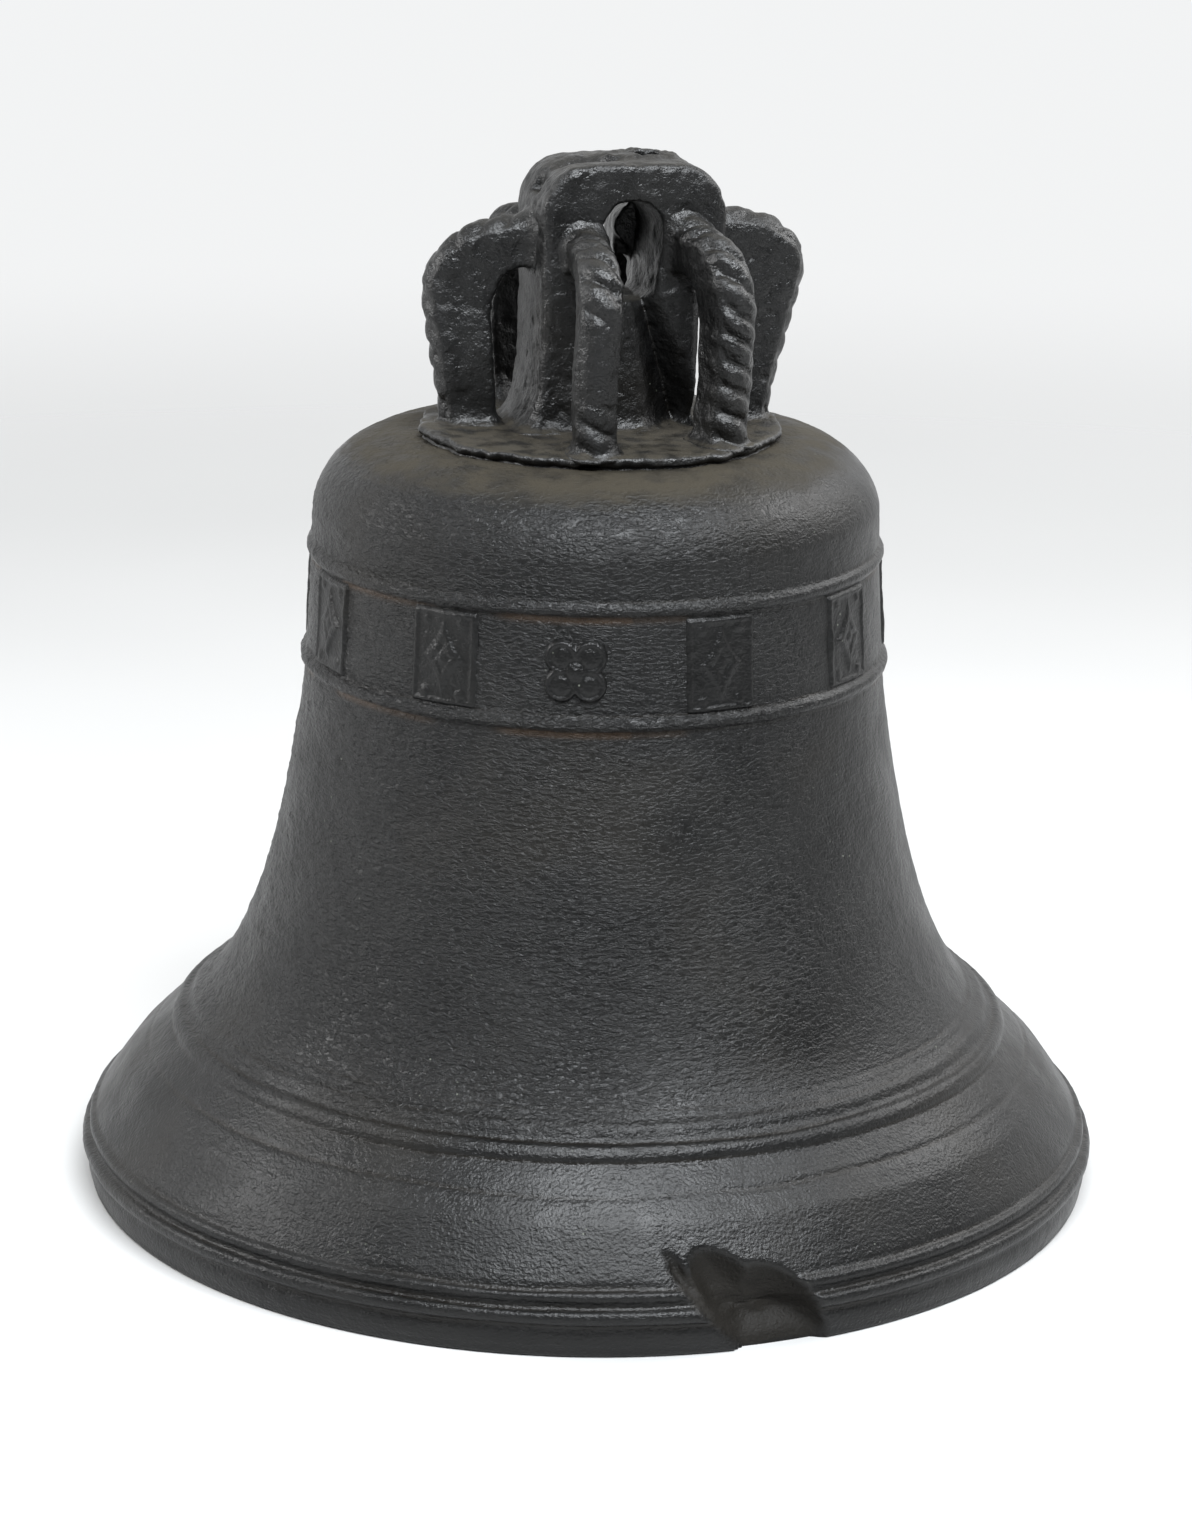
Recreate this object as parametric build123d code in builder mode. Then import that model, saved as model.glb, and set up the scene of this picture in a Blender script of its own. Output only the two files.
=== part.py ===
from build123d import *
import os

# Church bell of cast bronze, standing mouth down on its lip. Millimetres.
# Frame: origin on the bell's axis at the plane of the lip, +Z up towards the crown,
# +X along the long side of the argent, which is the axis that the clapper swings about.

# ---- driving dimensions of the bell ----
MOUTH_R = 330.0  # outer edge of the lip where it rests
LIP_INNER_R = 320.0  # inner edge of the flat that it rests on
FASCIA_R = 333.6  # widest point of the upright face of the lip
FASCIA_TOP_Z = 20.0
BAND_LOW = (186.0, 356.7)  # radius and height where the relief band starts
BAND_HIGH = (182.3, 416.7)
SHOULDER_R = 181.4
SHOULDER_Z = 452.0
HEAD_Z = 494.0  # flat top of the shell, under the crown plate
HEAD_INNER_Z = 468.0

# ---- moulded wires round the shell: centre's radius and height, and radius of the round ----
WIRES = [
    (330.2, 26.2, 6.8),
    (326.3, 37.4, 5.6),
    (263.6, 101.0, 12.6),
    (251.8, 111.0, 12.6),
    (250.6, 124.5, 3.0),
    (185.5, 351.7, 4.6),
    (181.0, 422.2, 4.6),
]

# ---- damaged place in the lip: a scoop as deep as two fingers ----
GOUGE_AZIMUTH = 5.3  # degrees from -Y towards +X
GOUGE_R = 47.0
GOUGE_CENTRE = (357.0, 53.0)  # radius and height of the scoop's centre

# ---- crown ----
PLATE_R = 120.0
PLATE_TOP_Z = 502.0
PLATE_EDGE = 2.5  # chamfer round its top
CROWN_TOP_Z = 675.0
ARGENT_X = (-47.0, 60.0)  # ends of its legs
ARGENT_Y = (-30.0, 38.0)
FOOT_FLARE = 11.0  # how far its left foot spreads beyond its end
FOOT_WAIST = 5.0  # how far its right foot is drawn in
FLARE_Z = 545.0
OVERHANG = 15.0  # how far its head runs out beyond its right leg
OVERHANG_Z = (600.0, 620.0)  # where the head starts to run out, and where it is full
CORNER_R = 30.0  # round of the argent's upper corners
EYE_X = 16.0  # middle of the argent's eye
EYE_HALF = 20.0
EYE_TAPER = 6.0  # how much the eye narrows on each side towards its sill
EYE_LOW_Z = 584.0
EYE_TOP_Z = 646.0
VALLEY_R = 12.0  # four-sided valley between the argent's legs
NOTCH = (22.0, 20.0, 30.0)  # taken out of each end of the argent's top
NOTCH_AT = (4.0, CROWN_TOP_Z - 14)  # middle of a notch in Y and Z
CANON_WIDTH = 28.0
CANON_HALF_DEPTH = 18.0
ARM_LOW_Z = 603.0
KNEE_ROUND = 18.0
ARMPIT_Z = 577.0  # where the inner face of the leg starts to bend into the arm
LEG_TAPER = 5.0  # how much thinner the leg is there than at its foot
ARM_DROP = 2.0  # how much the arm's underside falls towards the knee
ARM_EXTRA = 12.0  # how far the arm is drawn into the argent before it is trimmed at its face
TRIM_HEIGHT = 400.0  # taller than the canons above and below the argent's top

# ---- canons: where the arm leaves the argent and middle of the foot, in X and Y; knee's outer
# corner, as how far it stands out beyond the foot's outer edge and its height; knee's upper
# corner, as its place beyond the middle of the foot and its height; and height of the arm's top ----
CANONS = {
    "canon_front_left": ((-16.0, -30.0), (-22.0, -95.0), (3.0, 598.0), (-2.0, 625.0), 631.0),
    "canon_front_right": ((51.0, -30.0), (63.0, -75.0), (6.0, 600.0), (-2.0, 631.0), 637.0),
    "canon_right": ((60.0, 2.0), (92.0, 4.0), (30.0, 612.0), (15.0, 636.0), 640.0),
    "canon_rear_right": ((29.0, 38.0), (35.0, 90.0), (3.0, 600.0), (-2.0, 631.0), 637.0),
    "canon_rear_left": ((-30.0, 38.0), (-48.0, 82.0), (6.0, 600.0), (-2.0, 631.0), 637.0),
    "canon_left": ((-47.0, 6.0), (-81.0, 12.0), (17.0, 600.0), (2.0, 631.0), 637.0),
}

# ---- relief band: azimuths in degrees from -Y towards +X ----
PLAQUE_AZIMUTHS = [-76.0, -42.0, 12.6, 47.0, 83.0, 116.0, 180.0, 216.0, 250.0]
STOP_AZIMUTHS = [-15.6, 148.0]
PLAQUE_ARC = 14.4  # degrees of the band that a plaque covers
PLAQUE_PROUD = 2.6
PLAQUE_EDGE = 1.0  # how much lower a plaque's top is than its root, for the slope of its edge
LOZENGE = (13.0, 22.0)  # half width and half height
LOZENGE_ROOT = 1.5  # starts this far outside the band's middle radius, inside the plaque
LOZENGE_DEEP = 2.6
LOZENGE_TAPER = 20.0  # degrees
STOP_PROUD = 3.0
STOP_Z = 385.2
LOBE_R = 10.5  # a stop's four lobes and how far each is from its middle
LOBE_OUT = 12.5
STOP_ROOT = 6.0  # how deep a stop is drawn before it is trimmed to the band

# ---- clapper and its hanging ----
PIVOT_Z = 420.0
BAR_R = 11.0  # iron bars of the staple and of the clapper's stirrup
STAPLE_LEG_X = (26.0, 44.0)
STAPLE_ROOT_Z = 482.0  # the legs are cast this far into the head
STIRRUP_Z = 320.0
STRAP_GAP = 0.3
STRAP_T = 7.0
STRAP_WIDTH = 44.0
BOLT_Z = 371.0
BOLT_R = 5.0
WASHER_R = 13.0
WASHER_T = 2.5
BOLT_HEAD = (11.0, 8.0)  # half width over the corners, and height, of its six-sided head
BOLT_TAIL = 16.0  # how far the bolt runs on past the washer on its key's side
BORE_LENGTH = 80.0  # longer than the strap's loop is thick, to cut right through it
KEY_T = 3.0
KEY_HALF = 17.0
KEY_DEEP = (5.0, 9.0)  # the wedge's depth at its low and at its high end
KEY_SLOT = (10.0, 40.0)  # depth and height of its slot in the bolt
BOARD_GAP = 5.0  # between the busk board and the iron bars above and below it
BOARD_INSET = 2.0  # between the board's ends and the strap's edges
STIRRUP_INSET = 4.0  # how much shorter the stirrup's bar is than the staple's, at each end
YOKE_Z = 292.0  # the stirrup's legs join here, and run down into the shank by the neck
NECK_Z = 240.0
NECK_WIDTH = 28.0
NECK_ROUND = 8.0
SHANK_R = (11.0, 14.0, 17.0, 12.0)  # at the flight's end, under the ball, over it, at the neck
SHANK_OVERLAP = 4.0  # how far the round shank runs up into the neck
BALL_Z = 66.0
BALL_R = 40.0
FLIGHT_Z = 8.0


def at_azimuth(azimuth, radius=0.0, height=0.0):
    """Upright plane facing outwards at an azimuth counted from -Y towards +X."""
    turned = Plane.XZ.rotated((0, 0, azimuth))
    outward = turned.z_dir
    return Plane(origin=outward * radius + Vector(0, 0, height), x_dir=turned.x_dir, z_dir=outward)


def save(piece, name):
    piece.part.label = name
    export_step(piece.part, f"parts/{name}.step")


os.makedirs("parts", exist_ok=True)

# ---- iron staple cast into the head: two legs and a round bar along X ----
with BuildPart() as crown_staple:
    with BuildSketch(Plane.YZ.offset(-STAPLE_LEG_X[1])):
        with Locations((0, PIVOT_Z)):
            Circle(BAR_R)
        with Locations((0, (PIVOT_Z + STAPLE_ROOT_Z) / 2)):
            Rectangle(2 * BAR_R, STAPLE_ROOT_Z - PIVOT_Z)
    extrude(amount=2 * STAPLE_LEG_X[1])
    with Locations((0, 0, (PIVOT_Z + STAPLE_ROOT_Z) / 2 + 1)):
        Box(2 * STAPLE_LEG_X[0], 2 * BAR_R + 2, STAPLE_ROOT_Z - PIVOT_Z + 2, mode=Mode.SUBTRACT)
    with Locations(Plane.YZ):
        with Locations((0, PIVOT_Z, 0)):
            Cylinder(BAR_R, 2 * STAPLE_LEG_X[0])
save(crown_staple, "crown_staple")

# ---- bell shell: soundbow, waist, band, shoulder and head, turned about the axis ----
with BuildPart() as bell_shell:
    with BuildSketch(Plane.XZ):
        with BuildLine():
            fascia = ThreePointArc((MOUTH_R, 0), (FASCIA_R, 11), (332.5, FASCIA_TOP_Z))
            flare = Polyline(fascia @ 1, (326.5, 43.5), (304, 75), (271, 107), (252, 125.5))
            waist = Spline(
                flare @ 1,
                (222.4, 178),
                (204, 241),
                (191.3, 310),
                BAND_LOW,
                tangents=[(-0.66, 0.75), (-0.05, 1)],
            )
            band = Polyline(waist @ 1, BAND_HIGH, (SHOULDER_R, SHOULDER_Z))
            shoulder = ThreePointArc(band @ 1, (168, 477), (142.5, 491))
            head = Polyline(shoulder @ 1, (130, HEAD_Z), (0, HEAD_Z), (0, HEAD_INNER_Z), (118, HEAD_INNER_Z))
            inner_head = ThreePointArc(head @ 1, (149, 457), (161, 430))
            inner_waist = Spline(
                inner_head @ 1,
                (167.5, 340),
                (182.5, 241),
                (203, 178),
                (237, 108),
                tangents=[(0.03, -1), (0.42, -0.9)],
            )
            soundbow = ThreePointArc(inner_waist @ 1, (264, 54), (295, 16))
            Polyline(soundbow @ 1, (LIP_INNER_R, 0), (MOUTH_R, 0))
        make_face()
        for radius, height, size in WIRES:
            with Locations((radius, height)):
                Circle(size)
    revolve(axis=Axis.Z)
    scoop = Vector(0, -GOUGE_CENTRE[0], GOUGE_CENTRE[1]).rotate(Axis.Z, GOUGE_AZIMUTH)
    with Locations(scoop):
        Sphere(GOUGE_R, mode=Mode.SUBTRACT)
    add(crown_staple.part, mode=Mode.SUBTRACT)
save(bell_shell, "bell_shell")

# ---- relief band: curved plaques with a raised lozenge, and small four-lobed stops ----
with BuildPart() as band_plaques:
    for azimuth in PLAQUE_AZIMUTHS:
        start = Plane.XZ.rotated((0, 0, azimuth - 90 - PLAQUE_ARC / 2))
        with BuildSketch(start):
            with BuildLine():
                Polyline(
                    BAND_LOW,
                    (BAND_LOW[0] + PLAQUE_PROUD, BAND_LOW[1] + PLAQUE_EDGE),
                    (BAND_HIGH[0] + PLAQUE_PROUD, BAND_HIGH[1] - PLAQUE_EDGE),
                    BAND_HIGH,
                    close=True,
                )
            make_face()
        revolve(axis=Axis.Z, revolution_arc=PLAQUE_ARC)
        middle = ((BAND_LOW[0] + BAND_HIGH[0]) / 2, (BAND_LOW[1] + BAND_HIGH[1]) / 2)
        half_width, half_height = LOZENGE
        with BuildSketch(at_azimuth(azimuth, middle[0] + LOZENGE_ROOT, middle[1])):
            with BuildLine():
                Polyline((0, -half_height), (half_width, 0), (0, half_height), (-half_width, 0), close=True)
            make_face()
        extrude(amount=LOZENGE_DEEP, taper=LOZENGE_TAPER)
save(band_plaques, "band_plaques")

with BuildPart() as band_stops:
    for azimuth in STOP_AZIMUTHS:
        with BuildSketch(at_azimuth(azimuth, BAND_HIGH[0] - STOP_ROOT, STOP_Z)):
            with PolarLocations(LOBE_OUT, 4, start_angle=45):
                Circle(LOBE_R)
            Circle(LOBE_R)
        extrude(amount=STOP_ROOT + BAND_LOW[0] - BAND_HIGH[0] + STOP_PROUD)
    # trimmed to the outside of the band's cone, where they are cast on
    with BuildSketch(Plane.XZ):
        with BuildLine():
            Polyline((0, BAND_LOW[1]), BAND_LOW, BAND_HIGH, (0, BAND_HIGH[1]), close=True)
        make_face()
    revolve(axis=Axis.Z, mode=Mode.SUBTRACT)
save(band_stops, "band_stops")

# ---- crown plate: the disc that the canons and the argent stand on ----
with BuildPart() as crown_plate:
    with BuildSketch(Plane.XY.offset(HEAD_Z)):
        Circle(PLATE_R)
    extrude(amount=PLATE_TOP_Z - HEAD_Z)
    chamfer(crown_plate.faces().sort_by(Axis.Z)[-1].edges(), PLATE_EDGE)
save(crown_plate, "crown_plate")

# ---- argent: the thick central loop, with its eye through it along Y ----
with BuildPart() as argent:
    left, right = ARGENT_X
    with BuildSketch(Plane.XZ.offset(-ARGENT_Y[1])):
        with BuildLine():
            Polyline(
                (left - FOOT_FLARE, PLATE_TOP_Z),
                (left, FLARE_Z),
                (left, CROWN_TOP_Z),
                (right + OVERHANG, CROWN_TOP_Z),
                (right + OVERHANG, OVERHANG_Z[1]),
                (right, OVERHANG_Z[0]),
                (right - FOOT_WAIST, PLATE_TOP_Z),
                close=True,
            )
        make_face()
        fillet(vertices().group_by(Axis.Y)[-1], CORNER_R)
        eye_left, eye_right = EYE_X - EYE_HALF, EYE_X + EYE_HALF
        with BuildLine():
            near_side = Line((eye_left, EYE_TOP_Z - EYE_HALF), (eye_left + EYE_TAPER, EYE_LOW_Z))
            sill = Line(near_side @ 1, (eye_right - EYE_TAPER, EYE_LOW_Z))
            far_side = Line(sill @ 1, (eye_right, EYE_TOP_Z - EYE_HALF))
            ThreePointArc(far_side @ 1, (EYE_X, EYE_TOP_Z), near_side @ 0)
        make_face(mode=Mode.SUBTRACT)
    extrude(amount=ARGENT_Y[1] - ARGENT_Y[0])
    # a valley between the legs on the front and on the back, and a notch in each end of the top
    for y in ARGENT_Y:
        with BuildSketch(Plane.XY.offset(PLATE_TOP_Z)):
            with Locations((EYE_X, y)):
                RegularPolygon(VALLEY_R, 4)
        extrude(amount=EYE_LOW_Z - PLATE_TOP_Z, mode=Mode.SUBTRACT)
    for x in (left, right + OVERHANG):
        with Locations((x, *NOTCH_AT)):
            Box(*NOTCH, mode=Mode.SUBTRACT)
save(argent, "argent")

# ---- six canons: a leg on the crown plate, a knee, and an arm that ends at the argent's face ----
argent_middle = (sum(ARGENT_X) / 2, sum(ARGENT_Y) / 2, CROWN_TOP_Z)
for name, (root, foot, (stand_out, knee_z), (knee_place, knee_top_z), arm_top_z) in CANONS.items():
    run = Vector(*foot) - Vector(*root)
    reach = run.length
    outer, inner = reach + CANON_HALF_DEPTH, reach - CANON_HALF_DEPTH
    radial = Plane(origin=(*root, 0), x_dir=run, z_dir=run.cross(Vector(0, 0, 1)))
    with BuildPart() as canon:
        with BuildSketch(radial):
            with BuildLine():
                Polyline(
                    (outer, PLATE_TOP_Z),
                    (outer + stand_out, knee_z),
                    (reach + knee_place, knee_top_z),
                    (-ARM_EXTRA, arm_top_z),
                    (-ARM_EXTRA, ARM_LOW_Z),
                    (inner - LEG_TAPER, ARM_LOW_Z - ARM_DROP),
                    (inner + LEG_TAPER, ARMPIT_Z),
                    (inner, PLATE_TOP_Z),
                    close=True,
                )
            make_face()
            outer_knee = vertices().sort_by(Axis.X)[-1]
            upper_knee = vertices().filter_by_position(Axis.Y, knee_top_z - 0.5, knee_top_z + 0.5)
            fillet([outer_knee, *upper_knee], KNEE_ROUND)
        extrude(amount=CANON_WIDTH / 2, both=True)
        with Locations(argent_middle):
            Box(ARGENT_X[1] - ARGENT_X[0], ARGENT_Y[1] - ARGENT_Y[0], TRIM_HEIGHT, mode=Mode.SUBTRACT)
        add(argent.part, mode=Mode.SUBTRACT)
    save(canon, name)

# ---- baldric: a leather strap looped round the staple's bar and the stirrup's bar ----
loop_inner = BAR_R + STRAP_GAP
loop_middle = (PIVOT_Z + STIRRUP_Z) / 2
with BuildPart() as baldric:
    with BuildSketch(Plane.YZ.offset(-STRAP_WIDTH / 2)):
        with Locations((0, loop_middle)):
            SlotCenterToCenter(PIVOT_Z - STIRRUP_Z, 2 * (loop_inner + STRAP_T), rotation=90)
            SlotCenterToCenter(PIVOT_Z - STIRRUP_Z, 2 * loop_inner, rotation=90, mode=Mode.SUBTRACT)
    extrude(amount=STRAP_WIDTH)
    with Locations(Plane.XZ):
        with Locations((0, BOLT_Z, 0)):
            Cylinder(BOLT_R, BORE_LENGTH, mode=Mode.SUBTRACT)
save(baldric, "baldric")

# ---- busk board: the wooden block that keeps the loop of the strap open ----
with BuildPart() as busk_board:
    low, high = STIRRUP_Z + BAR_R + BOARD_GAP, PIVOT_Z - BAR_R - BOARD_GAP
    with Locations((0, 0, (low + high) / 2)):
        Box(STRAP_WIDTH - 2 * BOARD_INSET, 2 * loop_inner, high - low)
    fillet(busk_board.edges().filter_by(Axis.Z), 2)
    with Locations(Plane.XZ):
        with Locations((0, BOLT_Z, 0)):
            Cylinder(BOLT_R, BORE_LENGTH, mode=Mode.SUBTRACT)
save(busk_board, "busk_board")

# ---- forelock bolt through strap and board, with its washers and its key ----
strap_face = loop_inner + STRAP_T
washer_face = strap_face + WASHER_T
with BuildPart() as baldric_bolt:
    with BuildSketch(Plane.XZ.offset(washer_face)):
        with Locations((0, BOLT_Z)):
            RegularPolygon(BOLT_HEAD[0], 6)
    extrude(amount=BOLT_HEAD[1])
    fillet(baldric_bolt.faces().sort_by(Axis.Y)[0].edges(), 1.5)
    with BuildSketch(Plane.XZ.offset(washer_face)):
        with Locations((0, BOLT_Z)):
            Circle(BOLT_R)
    extrude(amount=-(2 * washer_face + BOLT_TAIL))
    with Locations((0, washer_face + KEY_SLOT[0] / 2, BOLT_Z)):
        Box(KEY_T, *KEY_SLOT, mode=Mode.SUBTRACT)
save(baldric_bolt, "baldric_bolt")

with BuildPart() as bolt_washers:
    for start in (strap_face, -strap_face - WASHER_T):
        with BuildSketch(Plane.XZ.offset(start)):
            with Locations((0, BOLT_Z)):
                Circle(WASHER_R)
                Circle(BOLT_R, mode=Mode.SUBTRACT)
        extrude(amount=WASHER_T)
save(bolt_washers, "bolt_washers")

with BuildPart() as bolt_key:
    with BuildSketch(Plane.YZ.offset(-KEY_T / 2)):
        with BuildLine():
            Polyline(
                (washer_face, BOLT_Z - KEY_HALF),
                (washer_face + KEY_DEEP[0], BOLT_Z - KEY_HALF),
                (washer_face + KEY_DEEP[1], BOLT_Z + KEY_HALF),
                (washer_face, BOLT_Z + KEY_HALF),
                close=True,
            )
        make_face()
    extrude(amount=KEY_T)
save(bolt_key, "bolt_key")

# ---- clapper: stirrup and shank forged in one, and the ball forged on round the shank ----
stirrup_half = STAPLE_LEG_X[1] - STIRRUP_INSET
with BuildPart() as clapper_shank:
    with BuildSketch(Plane.YZ.offset(-stirrup_half)):
        with Locations((0, STIRRUP_Z)):
            Circle(BAR_R)
        with Locations((0, (STIRRUP_Z + YOKE_Z) / 2)):
            Rectangle(2 * BAR_R, STIRRUP_Z - YOKE_Z)
    extrude(amount=2 * stirrup_half)
    with Locations((0, 0, STIRRUP_Z)):
        Box(2 * STAPLE_LEG_X[0], 2 * BAR_R + 2, 2 * (STIRRUP_Z - YOKE_Z), mode=Mode.SUBTRACT)
    with Locations(Plane.YZ):
        with Locations((0, STIRRUP_Z, 0)):
            Cylinder(BAR_R, 2 * STAPLE_LEG_X[0])
    with BuildSketch(Plane.XY.offset(YOKE_Z)):
        Rectangle(2 * stirrup_half, 2 * BAR_R)
    with BuildSketch(Plane.XY.offset(NECK_Z)):
        RectangleRounded(NECK_WIDTH, 2 * BAR_R, NECK_ROUND)
    loft()
    shank_top = NECK_Z + SHANK_OVERLAP
    with BuildSketch(Plane.XZ):
        with BuildLine():
            Polyline(
                (0, FLIGHT_Z),
                (SHANK_R[0], FLIGHT_Z),
                (SHANK_R[1], BALL_Z),
                (SHANK_R[2], BALL_Z),
                (SHANK_R[3], shank_top),
                (0, shank_top),
                close=True,
            )
        make_face()
    revolve(axis=Axis.Z)
save(clapper_shank, "clapper_shank")

with BuildPart() as clapper_ball:
    with Locations((0, 0, BALL_Z)):
        Sphere(BALL_R)
    add(clapper_shank.part, mode=Mode.SUBTRACT)
save(clapper_ball, "clapper_ball")
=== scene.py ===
import math

import bmesh
import bpy
import numpy as np
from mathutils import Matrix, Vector


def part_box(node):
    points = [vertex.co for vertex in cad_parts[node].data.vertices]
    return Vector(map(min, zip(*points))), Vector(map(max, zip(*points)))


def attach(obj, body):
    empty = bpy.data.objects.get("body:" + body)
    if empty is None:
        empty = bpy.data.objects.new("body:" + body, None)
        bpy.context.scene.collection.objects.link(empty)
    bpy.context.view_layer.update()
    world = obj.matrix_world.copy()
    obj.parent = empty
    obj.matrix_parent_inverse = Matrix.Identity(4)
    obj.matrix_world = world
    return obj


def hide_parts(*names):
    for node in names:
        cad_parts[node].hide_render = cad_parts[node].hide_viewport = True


# Cast bronze church bell. Everything is in metres in the frame of the CAD model; the fields and
# profiles below are worked out in millimetres and scaled by MM as each mesh is made.
MM = 0.001

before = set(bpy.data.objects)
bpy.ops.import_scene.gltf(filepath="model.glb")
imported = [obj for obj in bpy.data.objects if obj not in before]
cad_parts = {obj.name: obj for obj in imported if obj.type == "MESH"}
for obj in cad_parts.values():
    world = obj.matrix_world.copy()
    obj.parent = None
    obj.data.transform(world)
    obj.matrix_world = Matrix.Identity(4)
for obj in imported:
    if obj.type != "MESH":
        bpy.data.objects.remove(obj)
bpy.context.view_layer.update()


def node_box(node):
    """Lowest and highest corner of a CAD node, in millimetres."""
    low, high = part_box(node)
    return np.array(low) / MM, np.array(high) / MM


def heading(azimuth):
    """Horizontal way from the bell towards a place at an azimuth."""
    a = math.radians(azimuth)
    return Vector((math.sin(a), -math.cos(a), 0))


# ---------------- noise

def lattice(ix, iy, iz, seed):
    """Repeatable random value from -1 to 1 for each whole-number point."""
    mask = 0xFFFFFFFF
    h = (ix * 374761393 + iy * 668265263 + iz * 974634777 + seed * 144665) & mask
    h = ((h ^ (h >> 13)) * 1274126177) & mask
    h = h ^ (h >> 16)
    return h / 2147483648.0 - 1.0


def noise(x, y, z, size, seed):
    """Smooth noise from -1 to 1 whose bumps are about size across."""
    cells = [np.asarray(v, float) / size for v in (x, y, z)]
    whole = [np.floor(c).astype(np.int64) for c in cells]
    part = [c - w for c, w in zip(cells, whole)]
    ease = [p * p * p * (p * (p * 6 - 15) + 10) for p in part]
    total = 0.0
    for dx in (0, 1):
        wx = ease[0] if dx else 1 - ease[0]
        for dy in (0, 1):
            wy = ease[1] if dy else 1 - ease[1]
            for dz in (0, 1):
                wz = ease[2] if dz else 1 - ease[2]
                total = total + wx * wy * wz * lattice(
                    whole[0] + dx, whole[1] + dy, whole[2] + dz, seed
                )
    return total


def layered(x, y, z, size, octaves, seed, fall=0.5):
    """Sum of noises, each finer and weaker than the one before."""
    total, weight, span = 0.0, 1.0, 0.0
    for i in range(octaves):
        total = total + weight * noise(x, y, z, size / 2**i, seed + 17 * i)
        span += weight
        weight *= fall
    return total / span


def smoothstep(low, high, v):
    t = np.clip((v - low) / (high - low), 0, 1)
    return t * t * (3 - 2 * t)


# ---------------- meshes

def placed(name, data):
    """A new object that holds the data, linked to the scene."""
    obj = bpy.data.objects.new(name, data)
    bpy.context.scene.collection.objects.link(obj)
    return obj


def make_mesh(name, points_mm, faces):
    """A new smooth object from points in millimetres."""
    mesh = bpy.data.meshes.new(name)
    quads = faces.tolist() if isinstance(faces, np.ndarray) else faces
    mesh.from_pydata((np.asarray(points_mm) * MM).tolist(), [], quads)
    mesh.validate()
    mesh.update()
    mesh.shade_smooth()
    return placed(name, mesh)


def closed_rings(count, columns):
    """Faces of a stack of rings, with a point that closes the first ring and one the last."""
    faces = []
    column = np.arange(columns)
    for row in range(count - 1):
        a = row * columns + column
        b = row * columns + (column + 1) % columns
        faces.append(np.stack([a, a + columns, b + columns, b], 1))
    faces = np.concatenate(faces).tolist()
    top, last = count * columns, (count - 1) * columns
    for column in range(columns):
        after = (column + 1) % columns
        faces.append([top, column, after])
        faces.append([top + 1, last + after, last + column])
    return faces


def set_mask(obj, name, values):
    """Stores one number per vertex, which the materials read by name."""
    layer = obj.data.attributes.new(name, "FLOAT", "POINT")
    layer.data.foreach_set("value", np.clip(values, 0, 1).astype(np.float32).ravel())


def surface_net(field, low, step):
    """Points and quads of the surface where a field sampled on a grid crosses zero."""
    field = np.pad(field[1:-1, 1:-1, 1:-1], 1, constant_values=1.0)
    cells = tuple(n - 1 for n in field.shape)
    total = np.zeros(cells + (3,))
    count = np.zeros(cells)
    for axis in range(3):
        first, second = (a for a in range(3) if a != axis)
        for b in (0, 1):
            for c in (0, 1):
                start = [slice(0, n) for n in cells]
                start[first] = slice(b, cells[first] + b)
                start[second] = slice(c, cells[second] + c)
                end = list(start)
                end[axis] = slice(1, cells[axis] + 1)
                f0, f1 = field[tuple(start)], field[tuple(end)]
                hit = (f0 < 0) != (f1 < 0)
                gap = np.where(hit, f0 - f1, 1.0)
                total[..., axis] += np.where(hit, f0 / gap, 0)
                total[..., first] += np.where(hit, b, 0)
                total[..., second] += np.where(hit, c, 0)
                count += hit
    used = count > 0
    index = np.full(cells, -1)
    index[used] = np.arange(used.sum())
    where = np.argwhere(used)
    points = np.asarray(low) + (where + total[used] / count[used][:, None]) * step
    faces = []
    for axis in range(3):
        b, c = [(1, 2), (2, 0), (0, 1)][axis]
        inner = [slice(0, cells[0]), slice(0, cells[1]), slice(0, cells[2])]
        inner[b] = slice(1, cells[b])
        inner[c] = slice(1, cells[c])
        end = list(inner)
        end[axis] = slice(1, cells[axis] + 1)
        f0, f1 = field[tuple(inner)], field[tuple(end)]
        for rising in (True, False):
            hit = np.argwhere((f0 < 0) & (f1 >= 0) if rising else (f0 >= 0) & (f1 < 0))
            if not len(hit):
                continue
            hit[:, b] += 1
            hit[:, c] += 1
            corners = []
            for ob, oc in ((1, 1), (0, 1), (0, 0), (1, 0)):
                cell = hit.copy()
                cell[:, b] -= ob
                cell[:, c] -= oc
                corners.append(index[cell[:, 0], cell[:, 1], cell[:, 2]])
            quad = np.stack(corners, 1)
            faces.append(quad if rising else quad[:, ::-1])
    return points, np.concatenate(faces)


def grid(low, high, step):
    """Three arrays of coordinates that cover a box."""
    axes = [np.arange(a, b + step, step) for a, b in zip(low, high)]
    return np.meshgrid(*axes, indexing="ij")


# ---------------- signed distances

def smooth_min(a, b, blend):
    h = np.clip(0.5 + 0.5 * (b - a) / blend, 0, 1)
    return b + (a - b) * h - blend * h * (1 - h)


def smooth_max(a, b, blend):
    return -smooth_min(-a, -b, blend)


def rounded_pair(a, b, rounding):
    """Intersection of two distances with its edge rounded."""
    outside = np.hypot(np.maximum(a + rounding, 0), np.maximum(b + rounding, 0))
    return outside + np.minimum(np.maximum(a, b) + rounding, 0) - rounding


def box_field(point, centre, half, rounding):
    a, b, c = [np.abs(p - m) - h for p, m, h in zip(point, centre, half)]
    return rounded_pair(rounded_pair(a, b, rounding), c, rounding)


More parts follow.
